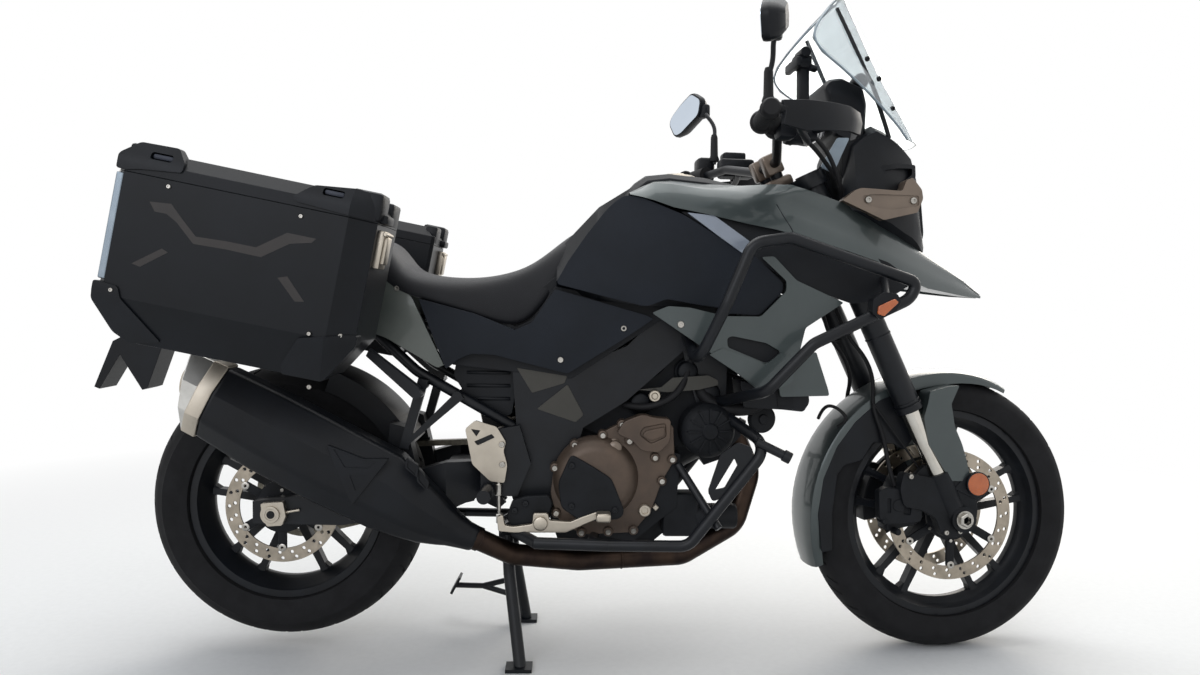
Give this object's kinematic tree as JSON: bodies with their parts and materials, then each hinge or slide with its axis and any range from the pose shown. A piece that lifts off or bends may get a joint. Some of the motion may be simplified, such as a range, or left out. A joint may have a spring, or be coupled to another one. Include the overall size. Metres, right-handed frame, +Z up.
{
  "type": "adventure motorcycle",
  "caption": "Road and trail motorcycle on its centre stand, with V-twin engine, beak, tall screen, crash bars and hard panniers.",
  "frame": {"origin": "on the ground, under the middle of the whole machine's length and width", "axes": "+X forwards, +Y to the rider's left, +Z up"},
  "size_m": [2.3435, 0.974, 1.5612],
  "materials": {
    "black_frame": "satin black powder coat",
    "engine_black": "matte black engine paint",
    "engine_bronze": "satin bronze engine paint",
    "steel": "brushed and drilled steel",
    "aluminium": "bead-blasted aluminium",
    "exhaust_steel": "heat-tinted steel",
    "silencer_black": "satin black heat-proof paint",
    "tyre_rubber": "road tyre",
    "rubber": "moulded rubber",
    "paint_grey_green": "dark metallic grey-green, clear coated",
    "tank_black": "textured matte black",
    "black_plastic": "grained moulded plastic",
    "bronze_trim": "satin bronze",
    "clear_screen": "clear acrylic",
    "lamp_glass": "clear lens",
    "red_lens": "red lens",
    "amber_lens": "amber lens",
    "seat_vinyl": "grained vinyl",
    "pannier_black": "black powder-coated aluminium",
    "chain_steel": "oiled chain"
  },
  "bodies": {
    "chassis": {"main_frame": "black_frame", "subframe": "black_frame", "crankcase": "engine_black", "engine_covers": "engine_bronze", "cylinders": "engine_bronze", "radiator": "engine_black", "exhaust_header": "exhaust_steel", "silencer": "silencer_black", "silencer_end_cap": "aluminium", "fuel_tank": "tank_black", "cowls": "paint_grey_green", "beak": "black_plastic", "shrouds": "paint_grey_green", "fairing": "black_plastic", "headlight": "lamp_glass", "fairing_trims": "bronze_trim", "windscreen": "clear_screen", "dashboard": "black_plastic", "seat": "seat_vinyl", "side_covers": "black_plastic", "tail_covers": "paint_grey_green", "rear_carrier": "black_plastic", "pannier_racks": "black_frame", "pannier_left": "pannier_black", "pannier_right": "pannier_black", "plate_holder": "black_plastic", "tail_lamp": "red_lens", "swingarm": "black_frame", "rear_axle": "steel", "rear_hugger": "black_plastic", "drive_chain": "chain_steel", "footrests": "aluminium", "foot_levers": "aluminium", "rear_caliper": "engine_black", "rear_shock": "steel", "turn_signals": "amber_lens", "crash_bars": "black_frame"},
    "steering": {"triple_clamps": "black_frame", "fork_tubes": "black_frame", "fork_lowers": "steel", "front_fender": "paint_grey_green", "front_calipers": "engine_black", "handlebar": "black_frame", "controls": "rubber", "hand_guards": "black_plastic", "mirrors": "black_plastic"},
    "front_wheel": {"front_rim": "black_frame", "front_tyre": "tyre_rubber", "front_discs": "steel"},
    "rear_wheel": {"rear_rim": "black_frame", "rear_tyre": "tyre_rubber", "rear_disc": "steel", "rear_sprocket": "steel"},
    "centre_stand": {"centre_stand": "black_frame"},
    "side_stand": {"side_stand": "black_frame"},
    "lid_left": {"lid_left": "pannier_black"},
    "lid_right": {"lid_right": "pannier_black"}
  },
  "joints": [
    {"name": "steering_turn", "type": "hinge", "parent": "chassis", "child": "steering", "pos_m": [0.49229, 0, 0.98128], "axis": [-0.4226, 0, 0.9063], "range_deg": [-42.75, 29.25]},
    {"name": "front_wheel_spin", "type": "hinge", "parent": "steering", "child": "front_wheel", "pos_m": [0.84373, 0.00505, 0.32866], "axis": [-0.1065, 0.9931, -0.0497], "continuous": true},
    {"name": "rear_wheel_spin", "type": "hinge", "parent": "chassis", "child": "rear_wheel", "pos_m": [-0.724, 0, 0.356], "axis": [0, 1, 0], "continuous": true},
    {"name": "centre_stand_fold", "type": "hinge", "parent": "chassis", "child": "centre_stand", "pos_m": [-0.207, 0, 0.285], "axis": [0, 1, 0], "range_deg": [0, 70]},
    {"name": "side_stand_swing", "type": "hinge", "parent": "chassis", "child": "side_stand", "pos_m": [-0.074, 0.116, 0.302], "axis": [0.0212, -0.9049, -0.4251], "range_deg": [0, 98]},
    {"name": "lid_left_open", "type": "hinge", "parent": "chassis", "child": "lid_left", "pos_m": [-0.902, 0.3685, 1.0716], "axis": [0, -1, 0], "range_deg": [0, 85]},
    {"name": "lid_right_open", "type": "hinge", "parent": "chassis", "child": "lid_right", "pos_m": [-0.902, -0.3685, 1.0716], "axis": [0, -1, 0], "range_deg": [0, 85]}
  ]
}
